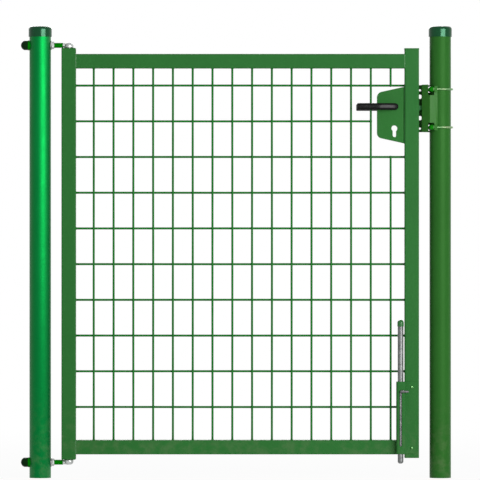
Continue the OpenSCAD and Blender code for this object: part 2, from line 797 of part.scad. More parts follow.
// Lever on the front: a round hub, a quarter bend and a straight grip towards the hinges
module lever() {
    face_y = -box_t / 2 - hub_gap;
    grip_y = -box_t / 2 - lever_reach;
    bend_x = lever_h / 2 - lever_bend_r;
    bend_y = grip_y + lever_bend_r;
    socket = spindle_w + 2 * thread_gap;
    translate([lever_x, 0, lever_z]) difference() {
        union() {
            translate([0, face_y, 0]) rotate([90, 0, 0])
                cylinder(h = face_y - bend_y, d = lever_h);
            intersection() {
                translate([bend_x, bend_y, 0]) rotate(-90) rotate_extrude(angle = 90)
                    translate([lever_bend_r - lever_t / 2, 0])
                        rounded_rect(lever_t, lever_h, lever_edge_r);
                union() {
                    rotate([90, 0, 0]) cylinder(h = -2 * grip_y, d = lever_h);
                    translate([bend_x - over, 2 * grip_y, -lever_h / 2])
                        cube([-bend_x + over, -2 * grip_y, lever_h]);
                }
            }
            translate([-lever_l, grip_y + lever_t / 2, 0]) rotate([90, 0, 90])
                linear_extrude(lever_l + bend_x) rounded_rect(lever_t, lever_h, lever_edge_r);
        }
        translate([-socket / 2, face_y - lever_bend_r / 2, -socket / 2])
            cube([socket, lever_bend_r / 2 + over, socket]);
    }
}

module front_lever() color(black_plastic) lever();
module rear_lever() color(black_plastic) mirror([0, 1, 0]) lever();

// ---- keep ----

// Centre line of one wing of the keep, from the web's middle round the ridge to the post
function wing(side) = [
    [keep_x + keep_t / 2, 0],
    [keep_x + keep_t / 2, side * (web_w / 2 - keep_t / 2)],
    [ridge_x, side * (ridge_y - keep_t / 2)],
    [wing_end_x, side * wing_end_y]
];

module keep_window(z, h) {
    translate([keep_x - over, -latch_t / 2 - window_gap, z - h / 2 - window_gap])
        cube([keep_t + 2 * over, latch_t + 2 * window_gap, h + 2 * window_gap]);
}

module keep_bracket() color(moss_green) difference() {
    for (side = [-1, 1]) {
        translate([0, 0, keep_bottom]) linear_extrude(keep_h) sheet_path(wing(side), keep_t);
        for (z = ubolt_zs) clamp_tab(z, side);
    }
    keep_window(latch_z, latch_h);
    keep_window(key_z, dead_h);
    nut_room(-1, ubolt_zs[0] - upper_nut_room, keep_top + over, washer_x);
    nut_room(-1, keep_bottom - over, ubolt_zs[1] + lower_nut_room, washer_x);
    nut_room(-1, ubolt_zs[0] + tab_h / 2, keep_top + over, latch_post_x);
    nut_room(-1, keep_bottom - over, ubolt_zs[1] - tab_h / 2, latch_post_x);
    for (z = ubolt_zs) nut_room(1, z - rear_nut_room, z + rear_nut_room, washer_x);
    for (z = ubolt_zs, side = [-1, 1]) translate([ubolt_end_x, side * ubolt_r, z])
        rod_x_axis(latch_post_x - ubolt_end_x, ubolt_d + 2 * thread_gap);
    translate([latch_post_x, 0, keep_bottom - over]) cylinder(h = keep_h + 2 * over, d = post_d);
}

// Tab that a U-bolt's leg passes through, standing out from the wing's end, with a folded edge
module clamp_tab(z, side) {
    fold_y = ubolt_r + tab_over - keep_t / 2;
    translate([0, 0, z - tab_h / 2]) linear_extrude(tab_h) sheet_path([
        [tab_x, side * wing_end_y], [tab_x, side * fold_y],
        [washer_x + tab_return, side * fold_y]
    ], keep_t);
}

// Room cut in one wing, from z0 to z1 and as far as x1, for the nuts, caps and washers
module nut_room(side, z0, z1, x1) {
    x0 = nut_end_x - clamp_cap_l - clamp_cap_room;
    outside_y = ubolt_r + clamp_cap_d;
    translate([x0, side > 0 ? web_w / 2 : -outside_y, z0])
        cube([x1 - x0, outside_y - web_w / 2, z1 - z0]);
}

// How far right the left face of the keep's wing is at y
function wing_face_x(y) =
    let (from = wing(1)[1], to = wing(1)[2], along = (to - from) / norm(to - from),
        edge = from + keep_t / 2 * [-along.y, along.x])
    edge.x + (y - edge.y) * along.x / along.y;

// Plate welded behind the keep, which the latch stile shuts against
module closing_stop() color(moss_green) difference() {
    back_y = stop_y + keep_t;
    left_x = leaf_right - stop_lap;
    hole_x = leaf_right + keep_gap / 2;
    translate([0, 0, keep_bottom]) linear_extrude(keep_h) polygon([
        [left_x, stop_y], [wing_face_x(stop_y), stop_y],
        [wing_face_x(back_y), back_y], [left_x, back_y]
    ]);
    for (z = stop_slot_zs, s = [-1, 1])
        translate([hole_x, back_y + over, z + s * (stop_slot_h - stop_slot_w) / 2])
            rotate([90, 0, 0]) cylinder(h = keep_t + 2 * over, d = stop_slot_w);
    for (z = stop_slot_zs)
        translate([hole_x - stop_slot_w / 2, stop_y - over, z - (stop_slot_h - stop_slot_w) / 2])
            cube([stop_slot_w, keep_t + 2 * over, stop_slot_h - stop_slot_w]);
    for (z = stop_hole_zs)
        translate([hole_x, back_y + over, z]) rotate([90, 0, 0])
            cylinder(h = keep_t + 2 * over, d = stop_hole_d);
}

// U-bolt round the far side of the latch post
module u_bolt(z) {
    translate([latch_post_x, 0, z]) {
        rotate(-90) rotate_extrude(angle = 180) translate([ubolt_r, 0]) circle(d = ubolt_d);
        for (side = [-1, 1]) translate([ubolt_end_x - latch_post_x, side * ubolt_r, 0])
            rod_x_axis(latch_post_x - ubolt_end_x, ubolt_d);
    }
}

module upper_u_bolt() color(zinc) u_bolt(ubolt_zs[0]);
module lower_u_bolt() color(zinc) u_bolt(ubolt_zs[1]);

module keep_nuts() color(zinc)
    for (z = ubolt_zs, side = [-1, 1])
        translate([nut_end_x - clamp_nut_h, side * ubolt_r, z])
            nut(clamp_nut_af, clamp_nut_h, ubolt_d + 2 * thread_gap);

module keep_nut_caps() color(sleeve_green)
    for (z = ubolt_zs, side = [-1, 1])
        translate([nut_end_x, side * ubolt_r, z])
            domed_cap(clamp_cap_d, clamp_cap_l, clamp_cap_wall, clamp_nut_h + leg_over + cap_end_gap);

module keep_washers() color(zinc)
    for (z = ubolt_zs, side = [-1, 1])
        translate([nut_end_x, side * ubolt_r, z]) difference() {
            rod_x_axis(washer_t, washer_d);
            translate([-over, 0, 0]) rod_x_axis(washer_t + 2 * over, ubolt_d + 2 * thread_gap);
        }

// ---- drop bolt ----

module drop_bolt_cover() color(leaf_green) difference() {
    translate([0, 0, cover_bottom]) linear_extrude(cover_h) sheet_path([
        [cover_left, cover_seat], [cover_left, cover_front], [cover_right, cover_front],
        [cover_right, cover_seat - cover_t / 2],
        [leaf_right - flange_inset, cover_seat - cover_t / 2]
    ], cover_t);
    // Slot for the handle, with a notch at its top that the raised bolt is turned into
    translate([rod_x - slot_w / 2, cover_front - cover_t, handle_z - drop_travel])
        cube([slot_w, 2 * cover_t, drop_travel]);
    for (z = [handle_z, handle_z - drop_travel])
        translate([rod_x, cover_front + cover_t, z]) rotate([90, 0, 0])
            cylinder(h = 2 * cover_t, d = slot_w);
    translate([rod_x, cover_front - cover_t, handle_z - slot_w / 2])
        cube([cover_right + cover_t - rod_x, rod_y - cover_front + cover_t, slot_w]);
}

// Plates across both ends of the cover that the rod slides through
module drop_bolt_guides() color(leaf_green)
    for (z = [cover_bottom, cover_top - guide_t])
        translate([0, 0, z]) linear_extrude(guide_t) difference() {
            translate([cover_left + cover_t / 2, cover_front + cover_t / 2])
                square([cover_right - cover_left - cover_t, cover_seat - cover_front - cover_t / 2]);
            translate([rod_x, rod_y]) circle(d = rod_d + 2 * rod_clear);
        }

module drop_rod() color(zinc) difference() {
    translate([rod_x, rod_y, rod_tip_z]) rotate_extrude() {
        translate([0, rod_tip_r]) square([rod_d / 2, rod_l - rod_tip_r]);
        square([rod_d / 2 - rod_tip_r, rod_tip_r + over]);
        translate([rod_d / 2 - rod_tip_r, rod_tip_r]) mirror([0, 1]) quarter_disc(rod_tip_r);
    }
    translate([rod_x, rod_y, handle_z]) rotate([90, 0, 0])
        cylinder(h = rod_d, d = handle_d + 2 * thread_gap);
}

module drop_rod_cap() color(cap_green) translate([rod_x, rod_y, rod_top_z - ball_skirt])
    rotate_extrude() difference() {
        union() {
            square([ball_d / 2, ball_skirt]);
            translate([0, ball_skirt]) quarter_disc(ball_d / 2);
        }
        translate([0, -over]) square([rod_d / 2 + thread_gap, ball_skirt + over]);
    }

// Pin out through the slot, bent towards the stile
module drop_rod_handle() color(zinc) {
    bend_r = handle_d;
    front_y = cover_front - cover_t / 2 - handle_reach;
    translate([rod_x, rod_y, handle_z]) rotate([90, 0, 0])
        cylinder(h = rod_y - front_y - bend_r, d = handle_d);
    translate([rod_x + bend_r, front_y + bend_r, handle_z]) rotate(180)
        rotate_extrude(angle = 90) translate([bend_r, 0]) circle(d = handle_d);
    translate([rod_x + bend_r, front_y, handle_z]) rod_x_axis(handle_side - bend_r, handle_d);
}

hinge_post();
latch_post();
hinge_post_cap();
latch_post_cap();
top_hinge_eye_bolt();
top_hinge_sleeve();
top_hinge_lock_nut();
top_hinge_saddle();
top_hinge_back_nut();
top_hinge_nut_cap();
bottom_hinge_eye_bolt();
bottom_hinge_sleeve();
bottom_hinge_lock_nut();
bottom_hinge_saddle();
bottom_hinge_back_nut();
bottom_hinge_nut_cap();
keep_bracket();
closing_stop();
upper_u_bolt();
lower_u_bolt();
keep_nuts();
keep_nut_caps();
keep_washers();
hinge_stile();
latch_stile();
top_rail();
bottom_rail();
mesh_panel();
hinge_stile_plates();
latch_stile_caps();
top_hinge_pin();
bottom_hinge_pin();
lock_box();
lock_case();
lock_forend();
dead_bolt();
drop_bolt_cover();
drop_bolt_guides();
lever_spindle();
front_lever();
rear_lever();
latch_bolt();
drop_rod();
drop_rod_cap();
drop_rod_handle();
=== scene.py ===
"""Looks of a single-leaf metal garden gate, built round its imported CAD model.

Lengths are in metres in the CAD model's frame: X from the hinge post to the latch post, Y from front to
back, Z up from the ground. Every new piece is a grid of points worked out with numpy.
"""

import bmesh
import bpy
import numpy as np
from mathutils import Matrix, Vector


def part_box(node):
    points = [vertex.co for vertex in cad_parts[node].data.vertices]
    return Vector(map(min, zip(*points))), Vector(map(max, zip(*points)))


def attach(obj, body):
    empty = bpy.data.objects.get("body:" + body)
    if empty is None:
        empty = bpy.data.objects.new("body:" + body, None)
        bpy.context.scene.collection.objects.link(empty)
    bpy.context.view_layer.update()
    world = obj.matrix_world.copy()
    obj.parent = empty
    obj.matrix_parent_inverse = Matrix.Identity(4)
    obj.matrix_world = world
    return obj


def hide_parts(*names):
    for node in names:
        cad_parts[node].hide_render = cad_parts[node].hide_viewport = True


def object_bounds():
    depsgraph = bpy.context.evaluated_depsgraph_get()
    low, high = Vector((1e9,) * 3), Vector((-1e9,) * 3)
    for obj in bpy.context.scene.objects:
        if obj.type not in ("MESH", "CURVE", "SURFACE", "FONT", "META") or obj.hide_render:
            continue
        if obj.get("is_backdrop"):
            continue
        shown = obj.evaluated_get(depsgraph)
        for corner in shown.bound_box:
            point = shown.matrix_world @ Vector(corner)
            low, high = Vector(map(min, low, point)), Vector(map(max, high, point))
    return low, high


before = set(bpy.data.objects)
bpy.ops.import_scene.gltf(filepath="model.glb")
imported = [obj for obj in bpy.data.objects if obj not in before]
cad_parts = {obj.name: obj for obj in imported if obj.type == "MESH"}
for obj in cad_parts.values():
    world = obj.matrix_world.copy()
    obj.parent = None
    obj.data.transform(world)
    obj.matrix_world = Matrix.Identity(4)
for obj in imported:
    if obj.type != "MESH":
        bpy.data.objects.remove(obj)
cad_low, cad_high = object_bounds()
TURN = 2 * np.pi


# ---- grids of points ----


def square_axes(path, reference, closed=False):
    """Directions along a path, and two square to each: side = along x reference, up = side x along."""
    path = np.asarray(path, float)
    along = np.roll(path, -1, 0) - np.roll(path, 1, 0) if closed else np.gradient(path, axis=0)
    along /= np.linalg.norm(along, axis=1, keepdims=True)
    side = np.cross(along, reference)
    side /= np.linalg.norm(side, axis=1, keepdims=True)
    return along, side, np.cross(side, along)


def round_sweep(path, radius, sides, reference, closed=False):
    """Round bar along a path: point = path + radius * (cos(angle) * side + sin(angle) * up).
    The radius is a number or a grid of length by angle."""
    path = np.asarray(path, float)
    _, side, up = square_axes(path, reference, closed)
    angle = TURN * np.arange(sides) / sides
    radius = np.broadcast_to(radius, (len(path), sides))[..., None]
    spoke = np.cos(angle)[None, :, None] * side[:, None] + np.sin(angle)[None, :, None] * up[:, None]
    return path[:, None] + radius * spoke


def close_ends(grid):
    """The grid with a pole added at each end, in the middle of its first and last rows."""
    first = np.repeat(grid[:1].mean(axis=1, keepdims=True), grid.shape[1], axis=1)
    last = np.repeat(grid[-1:].mean(axis=1, keepdims=True), grid.shape[1], axis=1)
    return np.concatenate([first, grid, last])


def turned(profile, centre, axis, sides):
    """Surface of revolution: point = centre + height * axis + radius * (cos(angle) * side + sin(angle) * up),
    for each (radius, height) of the profile."""
    profile = np.asarray(profile, float)
    axis = np.asarray(axis, float) / np.linalg.norm(axis)
    reference = (0, 0, 1) if abs(axis[2]) < 0.9 else (1, 0, 0)
    side = np.cross(axis, reference)
    side /= np.linalg.norm(side)
    up = np.cross(axis, side)
    angle = TURN * np.arange(sides) / sides
    spoke = np.cos(angle)[:, None] * side + np.sin(angle)[:, None] * up
    return np.asarray(centre) + profile[:, 1, None, None] * axis + profile[:, 0, None, None] * spoke[None]


# ---- pieces from grids ----


def piece(name, grids, finish, body, stands_for=()):
    """One mesh from several grids. Each grid is (copies..., rows, columns, 3), and its columns join round:
    the face at (i, j) has the corners (i, j), (i + 1, j), (i + 1, j + 1) and (i, j + 1)."""
    points, faces, start = [], [], 0
    for grid in grids:
        rows, columns = grid.shape[-3:-1]
        copies = grid.reshape(-1, rows * columns, 3)
        this_row = columns * np.arange(rows - 1)[:, None]
        next_row = this_row + columns
        here = np.arange(columns)[None, :]
        after = (here + 1) % columns
        quads = np.stack([this_row + here, next_row + here, next_row + after, this_row + after], -1)
        shift = start + rows * columns * np.arange(len(copies))
        faces.append((quads.reshape(1, -1, 4) + shift[:, None, None]).reshape(-1, 4))
        points.append(copies.reshape(-1, 3))
        start += copies.shape[0] * rows * columns
    mesh = bpy.data.meshes.new(name)
    mesh.from_pydata(np.concatenate(points).tolist(), [], np.concatenate(faces).tolist())
    work = bmesh.new()
    work.from_mesh(mesh)
    bmesh.ops.remove_doubles(work, verts=work.verts, dist=2e-6)
    bmesh.ops.dissolve_degenerate(work, edges=work.edges, dist=1e-7)
    bmesh.ops.recalc_face_normals(work, faces=work.faces)
    work.to_mesh(mesh)
    work.free()
    mesh.polygons.foreach_set("use_smooth", [True] * len(mesh.polygons))
    made = bpy.data.objects.new(name, mesh)
    bpy.context.scene.collection.objects.link(made)
    made.data.materials.append(finish)
    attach(made, body)
    if stands_for:
        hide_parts(*stands_for)
    return made


EDGE_R = 0.0004


def eased(name, node, finish, body, bends=()):
    """A copy of a node with softer edges. Its doubles are merged and its flat faces joined. Each bend is
    (x, y, reach, radius): what lies within reach of that upright line is drawn out to it as one sharp edge,
    which is then rounded to the radius. Last, every sharp edge is rounded to EDGE_R."""
    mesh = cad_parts[node].data.copy()
    mesh.name = name
    work = bmesh.new()
    work.from_mesh(mesh)
    bmesh.ops.remove_doubles(work, verts=work.verts, dist=1e-6)
    bmesh.ops.dissolve_limit(work, angle_limit=0.01, verts=work.verts, edges=work.edges)
    for x, y, reach, radius in bends:
        near = [v for v in work.verts if max(abs(v.co.x - x), abs(v.co.y - y)) < reach]
        bmesh.ops.scale(work, vec=(0, 0, 1), space=Matrix.Translation((-x, -y, 0)), verts=near)
        bmesh.ops.remove_doubles(work, verts=near, dist=1e-6)
        on_line = {v for v in work.verts if max(abs(v.co.x - x), abs(v.co.y - y)) < 5e-5}
        edges = [e for e in work.edges if on_line.issuperset(e.verts)]
        bmesh.ops.bevel(
            work, geom=edges, offset=radius, segments=7, profile=0.5, affect="EDGES", clamp_overlap=True
        )
    work.to_mesh(mesh)
    work.free()
    mesh.polygons.foreach_set("use_smooth", [True] * len(mesh.polygons))
    mesh.set_sharp_from_angle(angle=np.pi / 6)
    mesh.materials.clear()
    mesh.materials.append(finish)
    made = bpy.data.objects.new(name, mesh)
    bpy.context.scene.collection.objects.link(made)
    soft = made.modifiers.new("soft_edges", "BEVEL")
    soft.width = EDGE_R
    soft.segments = 2
    soft.limit_method = "ANGLE"
    soft.angle_limit = np.pi / 4
    soft.harden_normals = True
    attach(made, body)
    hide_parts(node)
    return made


# ---- finishes ----


def paint(code):
    """A colour written as six hexadecimal digits, as the shader wants it."""
    share = np.array([int(code[i : i + 2], 16) for i in (0, 2, 4)]) / 255
    linear = np.where(share > 0.04045, ((share + 0.055) / 1.055) ** 2.4, share / 12.92)
    return (*linear.tolist(), 1.0)


class Finish:
    """A material and its nodes. Patterns read Object coordinates, in metres."""

    def __init__(self, name, colour, **constants):
        self.material = bpy.data.materials.new(name)
        self.material.use_nodes = True
        self.nodes, self.links = self.material.node_tree.nodes, self.material.node_tree.links
        self.nodes.clear()
        self.shader = self.nodes.new("ShaderNodeBsdfPrincipled")
        output = self.nodes.new("ShaderNodeOutputMaterial")
        self.links.new(self.shader.outputs[0], output.inputs["Surface"])
        self.place = self.nodes.new("ShaderNodeTexCoord").outputs["Object"]
        self.colour = paint(colour)
        self.height = None
        self.shader.inputs["Base Color"].default_value = self.colour
        for socket, value in constants.items():
            self.shader.inputs[socket.replace("_", " ")].default_value = value

    def feed(self, socket, value):
        """Joins a socket to another one, or sets its number or colour."""
        if isinstance(value, bpy.types.NodeSocket):
            self.links.new(value, socket)
        else:
            socket.default_value = value

    def stretched(self, x=1.0, y=1.0, z=1.0):
        """Object coordinates times (x, y, z), for grain that runs one way."""
        mapping = self.nodes.new("ShaderNodeMapping")
        self.feed(mapping.inputs["Vector"], self.place)
        mapping.inputs["Scale"].default_value = (x, y, z)
        return mapping.outputs["Vector"]

    def noise(self, scale, detail=3.0, rough=0.5, at=None):
        """Cloudy pattern from 0 to 1, about scale patches to a metre."""
        made = self.nodes.new("ShaderNodeTexNoise")
        self.feed(made.inputs["Vector"], at or self.place)
        made.inputs["Scale"].default_value = scale
        made.inputs["Detail"].default_value = detail
        made.inputs["Roughness"].default_value = rough
        return made.outputs["Fac"]

    def cells(self, scale, result="Color", at=None):
        """Cells of even tone, about scale to a metre."""
        made = self.nodes.new("ShaderNodeTexVoronoi")
        self.feed(made.inputs["Vector"], at or self.place)
        made.inputs["Scale"].default_value = scale
        return made.outputs[result]

    def ramp(self, value, low, high, to_low=0.0, to_high=1.0):
        """to_low where value is low or less, to_high where it is high or more, and a smooth step between."""
        made = self.nodes.new("ShaderNodeMapRange")
        made.interpolation_type = "SMOOTHSTEP"
        for number, given in enumerate((value, low, high, to_low, to_high)):
            self.feed(made.inputs[number], given)
        return made.outputs["Result"]

    def maths(self, operation, *values):
        """One operation on numbers, sockets or both."""
        made = self.nodes.new("ShaderNodeMath")
        made.operation = operation
        for number, given in enumerate(values):
            self.feed(made.inputs[number], given)
        return made.outputs[0]

    def blend(self, share, first, second, way="MIX"):
        """first where share is 0 and second where it is 1."""
        made = self.nodes.new("ShaderNodeMix")
        made.data_type = "RGBA"
        made.blend_type = way
        self.feed(made.inputs[0], share)
        self.feed(made.inputs[6], first)
        self.feed(made.inputs[7], second)
        return made.outputs[2]

    def shade(self, colour, value, spread):
        """colour made up to spread darker and lighter as value goes from 0 to 1."""
        made = self.nodes.new("ShaderNodeHueSaturation")
        self.feed(made.inputs["Value"], self.ramp(value, 0.25, 0.75, 1 - spread, 1 + spread))
        self.feed(made.inputs["Color"], colour)
        return made.outputs[0]

    def part(self, axis):
        """X, Y or Z of the place."""
        made = self.nodes.new("ShaderNodeSeparateXYZ")
        self.feed(made.inputs[0], self.place)
        return made.outputs[axis]

    def bump(self, height, distance, strength=1.0):
        """Adds a relief of that height in metres to what was there before."""
        made = self.nodes.new("ShaderNodeBump")
        self.feed(made.inputs["Height"], height)
        made.inputs["Distance"].default_value = distance
        made.inputs["Strength"].default_value = strength
        if self.height is not None:
            self.feed(made.inputs["Normal"], self.height)
        self.height = made.outputs[0]

    def done(self, **sockets):
        """Joins the patterns and the relief to the shader, and gives the material."""
        for socket, value in sockets.items():
            self.feed(self.shader.inputs[socket.replace("_", " ")], value)
        if self.height is not None:
            self.links.new(self.height, self.shader.inputs["Normal"])
        return self.material


def powder_coat(name, colour, low=0.34, high=0.48, peel=1.0, thin="5C9A5A", **constants):
    """Baked powder paint on steel: orange-peel relief, slow drift of tone, fine speckle, dust low down."""
    coat = Finish(name, colour, **constants)
    drift = coat.noise(4.0, 5.0, 0.55)
    speckle = coat.noise(420.0, 2.0, 0.6)
    tone = coat.shade(coat.colour, drift, 0.045)
    tone = coat.shade(tone, speckle, 0.03)
    scuff = coat.noise(55.0, 6.0, 0.7, coat.stretched(1.0, 1.0, 0.18))
    tone = coat.blend(coat.ramp(scuff, 0.63, 0.75, 0.0, 0.16), tone, paint(thin))
    low_down = coat.ramp(coat.part("Z"), 0.02, 0.26, 1.0, 0.0)
    dusty = coat.maths("MULTIPLY", low_down, coat.ramp(coat.noise(38.0, 6.0, 0.65), 0.42, 0.7, 0.0, 0.14))
    tone = coat.blend(dusty, tone, paint("8D8C74"))
    coat.bump(coat.noise(300.0, 2.0, 0.5), 0.00012 * peel)
    coat.bump(coat.noise(28.0, 3.0, 0.5), 0.00025 * peel)
    gloss = coat.ramp(coat.maths("ADD", scuff, dusty), 0.3, 0.75, low, high)
    return coat.done(Base_Color=tone, Roughness=gloss)


def moulded_plastic(name, colour, low=0.2, high=0.34, grain=900.0, relief=0.00003, **constants):
    """Injection-moulded plastic: fine spark grain, slow drift of tone and hazy rubbed patches."""
    plastic = Finish(name, colour, **constants)
    tone = plastic.shade(plastic.colour, plastic.noise(18.0, 4.0, 0.55), 0.06)
    rubbed = plastic.noise(90.0, 7.0, 0.72)
    tone = plastic.blend(plastic.ramp(rubbed, 0.62, 0.78, 0.0, 0.12), tone, paint("7C8A80"))
    plastic.bump(plastic.noise(grain, 2.0, 0.6), relief)
    return plastic.done(Base_Color=tone, Roughness=plastic.ramp(rubbed, 0.35, 0.7, low, high))


def galvanised(name, colour="B4B7B5", low=0.34, high=0.52, metal=0.9):
    """Hot-dip zinc: crystal spangle in grey tones, dull white bloom and a soft pitted skin."""
    zinc = Finish(name, colour, Metallic=metal)
    spangle = zinc.ramp(zinc.cells(170.0), 0.15, 0.85)
    tone = zinc.shade(zinc.colour, spangle, 0.14)
    bloom = zinc.noise(60.0, 6.0, 0.7)
    tone = zinc.blend(zinc.ramp(bloom, 0.5, 0.72, 0.0, 0.35), tone, paint("C9CCC8"))
    zinc.bump(zinc.noise(350.0, 3.0, 0.6), 0.00008)
    zinc.bump(zinc.cells(170.0, "Distance"), 0.00003)
    dull = zinc.ramp(bloom, 0.3, 0.7, low, high - 0.05)
    dull = zinc.maths("ADD", dull, zinc.ramp(spangle, 0.0, 1.0, 0.0, 0.05))
    return zinc.done(Base_Color=tone, Roughness=dull)


def zinc_plate(name, colour="B9BDBB", low=0.2, high=0.36):
    """Bright zinc plate on pressed or drawn steel: fine draw lines, a straw tint in places, dull spots."""
    plate = Finish(name, colour, Metallic=1.0)
    drawn = plate.noise(700.0, 2.0, 0.6, plate.stretched(1.0, 1.0, 0.05))
    tone = plate.shade(plate.colour, drawn, 0.05)
    tone = plate.blend(plate.ramp(plate.noise(45.0, 4.0, 0.6), 0.45, 0.7, 0.0, 0.3), tone, paint("BDB69A"))
    spots = plate.noise(160.0, 5.0, 0.7)
    plate.bump(drawn, 0.00002)
    return plate.done(Base_Color=tone, Roughness=plate.ramp(spots, 0.4, 0.7, low, high))


def weld_metal(name, colour):
    """Painted weld: the tone drifts in small patches, the skin has a fine pitted relief, and the gloss varies
    from patch to patch.
    """
    weld = Finish(name, colour)
    tone = weld.shade(weld.colour, weld.noise(140.0, 4.0, 0.6), 0.09)
    weld.bump(weld.noise(900.0, 3.0, 0.6), 0.00012)
    return weld.done(Base_Color=tone, Roughness=weld.ramp(weld.noise(220.0, 3.0, 0.5), 0.3, 0.7, 0.26, 0.42))


FINISHES = {
    # The two posts wear one coating. Its two differently toned copies here are painted light, standing for
    # how differently each post is lit.
    "hinge_post": powder_coat(
        "hinge_post_coat_painted_light_copy", "065328", low=0.28, high=0.36, peel=0.8, thin="0C6030",
        Specular_IOR_Level=1.0, Anisotropic=0.9, Specular_Tint=paint("18FF70"),
    ),
    "latch_post": powder_coat(
        "latch_post_coat_painted_light_copy", "295F24", low=0.3, high=0.4, peel=0.8, thin="3E6A3A",
        Specular_IOR_Level=0.09, Specular_Tint=paint("B0FFA0"),
    ),
    "keep": powder_coat(
        "keep_coat", "2E6A24", low=0.34, high=0.46, peel=0.8, thin="42763C", Specular_IOR_Level=0.1
    ),
    "leaf": powder_coat(
        "leaf_coat", "27672C", low=0.42, high=0.56, peel=1.0, thin="3F7E42", Specular_IOR_Level=0.08
    ),
    "lock_box": powder_coat(
        "lock_box_coat", "28682A", low=0.36, high=0.48, peel=1.0, thin="3F7E42", Specular_IOR_Level=0.06
    ),
    "latch": powder_coat(
        "latch_coat", "1B6E30", low=0.3, high=0.42, peel=0.6, thin="348246", Specular_IOR_Level=0.12
    ),
    "wire": powder_coat(
        "wire_coat", "24702C", low=0.5, high=0.6, peel=0.5, thin="367C40", Specular_IOR_Level=0.01
    ),
    "weld": weld_metal("painted_welds", "286E2D"),
    "post_cap": moulded_plastic(
        "post_cap_plastic", "06381A", low=0.14, high=0.26,
        Specular_IOR_Level=0.38, Specular_Tint=paint("A8FFD0"),
    ),
    "sleeve": moulded_plastic(
        "sleeve_plastic", "027404", low=0.3, high=0.42,
        Specular_IOR_Level=0.02, Specular_Tint=paint("40FF30"),
    ),
    "nut_dome": moulded_plastic(
        "nut_dome_plastic", "10700C", low=0.24, high=0.36,
        Specular_IOR_Level=0.1, Specular_Tint=paint("80FF70"),
    ),
    "nut_cap": moulded_plastic(
        "nut_cap_plastic", "0D240F", low=0.26, high=0.4,
        Specular_IOR_Level=0.06, Specular_Tint=paint("90FF90"),
    ),
    "rod_cap": moulded_plastic("rod_cap_plastic", "1E6428", low=0.14, high=0.26, Specular_IOR_Level=0.38),
    "lever": moulded_plastic(
        "lever_plastic", "070707", low=0.16, high=0.24, grain=1100.0, relief=0.00005, Specular_IOR_Level=0.1
    ),
    "galvanised": galvanised("galvanised_steel"),
    # The drop rod's zinc is darker than the other galvanised parts: a painted reflection of dark
    # surroundings.
    "rod": galvanised("galvanised_rod_painted_dark_reflection", "686A6A", low=0.28, high=0.42, metal=0.6),
    "u_bolt": zinc_plate("u_bolt_zinc", "6E9E68"),
    "lock_zinc": zinc_plate("lock_zinc", "B2B6B2", low=0.24, high=0.4),
}

NODE_FINISH = {
    "hinge_post": ["hinge_post"],
    "latch_post": ["latch_post"],
    "post_cap": ["hinge_post_cap", "latch_post_cap"],
    "keep": ["keep_bracket", "closing_stop"],
    "u_bolt": ["upper_u_bolt", "lower_u_bolt", "keep_washers", "keep_nuts"],
    "leaf": [
        "hinge_stile", "latch_stile", "top_rail", "bottom_rail", "hinge_stile_plates", "latch_stile_caps",
        "drop_bolt_cover", "drop_bolt_guides",
    ],
    "latch": ["latch_bolt"],
    "nut_dome": ["keep_nut_caps"],
    "lock_box": ["lock_box"],
    "lock_zinc": ["lock_case", "lock_forend", "dead_bolt", "lever_spindle"],
    "lever": ["front_lever", "rear_lever"],
    "wire": ["mesh_panel"],
    "rod": ["drop_rod", "drop_rod_handle"],
    "rod_cap": ["drop_rod_cap"],
    "galvanised": ["top_hinge_pin", "bottom_hinge_pin"]
    + [f"{end}_hinge_{part}" for end in ("top", "bottom") for part in ("eye_bolt", "lock_nut", "back_nut")],
    "sleeve": [f"{end}_hinge_{part}" for end in ("top", "bottom") for part in ("sleeve", "saddle")],
    "nut_cap": ["top_hinge_nut_cap", "bottom_hinge_nut_cap"],
}
for finish, names in NODE_FINISH.items():
    for name in names:
        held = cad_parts[name].data.materials
        held.clear()
        held.append(FINISHES[finish])


# ---- mesh panel ----

WIRE_R = 0.003
UPRIGHTS, CROSSES = 16, 10
UPRIGHT_STEP, CROSS_STEP = 0.0554, 0.100
FIRST_UPRIGHT, FIRST_CROSS = 0.050, 0.048
STOPPED_UPRIGHT, STOPPED_CROSS = 15, 1
NUB_R, NUB_DEPTH = 0.0039, 0.0022
mesh_low, mesh_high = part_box("mesh_panel")
box_low, box_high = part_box("lock_box")
front_y, back_y = mesh_low.y + WIRE_R, mesh_high.y - WIRE_R
upright_x = mesh_low.x + FIRST_UPRIGHT + UPRIGHT_STEP * np.arange(UPRIGHTS)
cross_z = mesh_high.z - FIRST_CROSS - CROSS_STEP * np.arange(CROSSES)


def wires(starts, ends, rows, sides=14):
    """Straight wires: point = start + share * (end - start) + radius * ring, where the middle sways a hair
    with a sine of the length, and the radius swells with a slow sine where the coating ran thicker."""
    starts, ends = np.asarray(starts, float), np.asarray(ends, float)
    share = np.linspace(0, 1, rows)
    number = np.arange(len(starts))[:, None]
    middle = starts[:, None] + share[None, :, None] * (ends - starts)[:, None]
    along = (ends - starts)[0] / np.linalg.norm((ends - starts)[0])
    side = np.cross(along, (0, 1, 0))
    length = np.linalg.norm(ends - starts, axis=1)[:, None] * share
    sway = 0.00018 * np.sin(np.pi * share) * np.sin(3.1 * number + 4.3 * length)
    middle = middle + sway[..., None] * side
    swell = WIRE_R * (0.995 + 0.012 * np.sin(61 * length + 1.7 * number))
    angle = TURN * np.arange(sides) / sides
    ring = np.cos(angle)[:, None] * side + np.sin(angle)[:, None] * np.array((0, 1, 0))
    tube = middle[:, :, None] + swell[:, :, None, None] * ring
    return np.stack([close_ends(one) for one in tube])


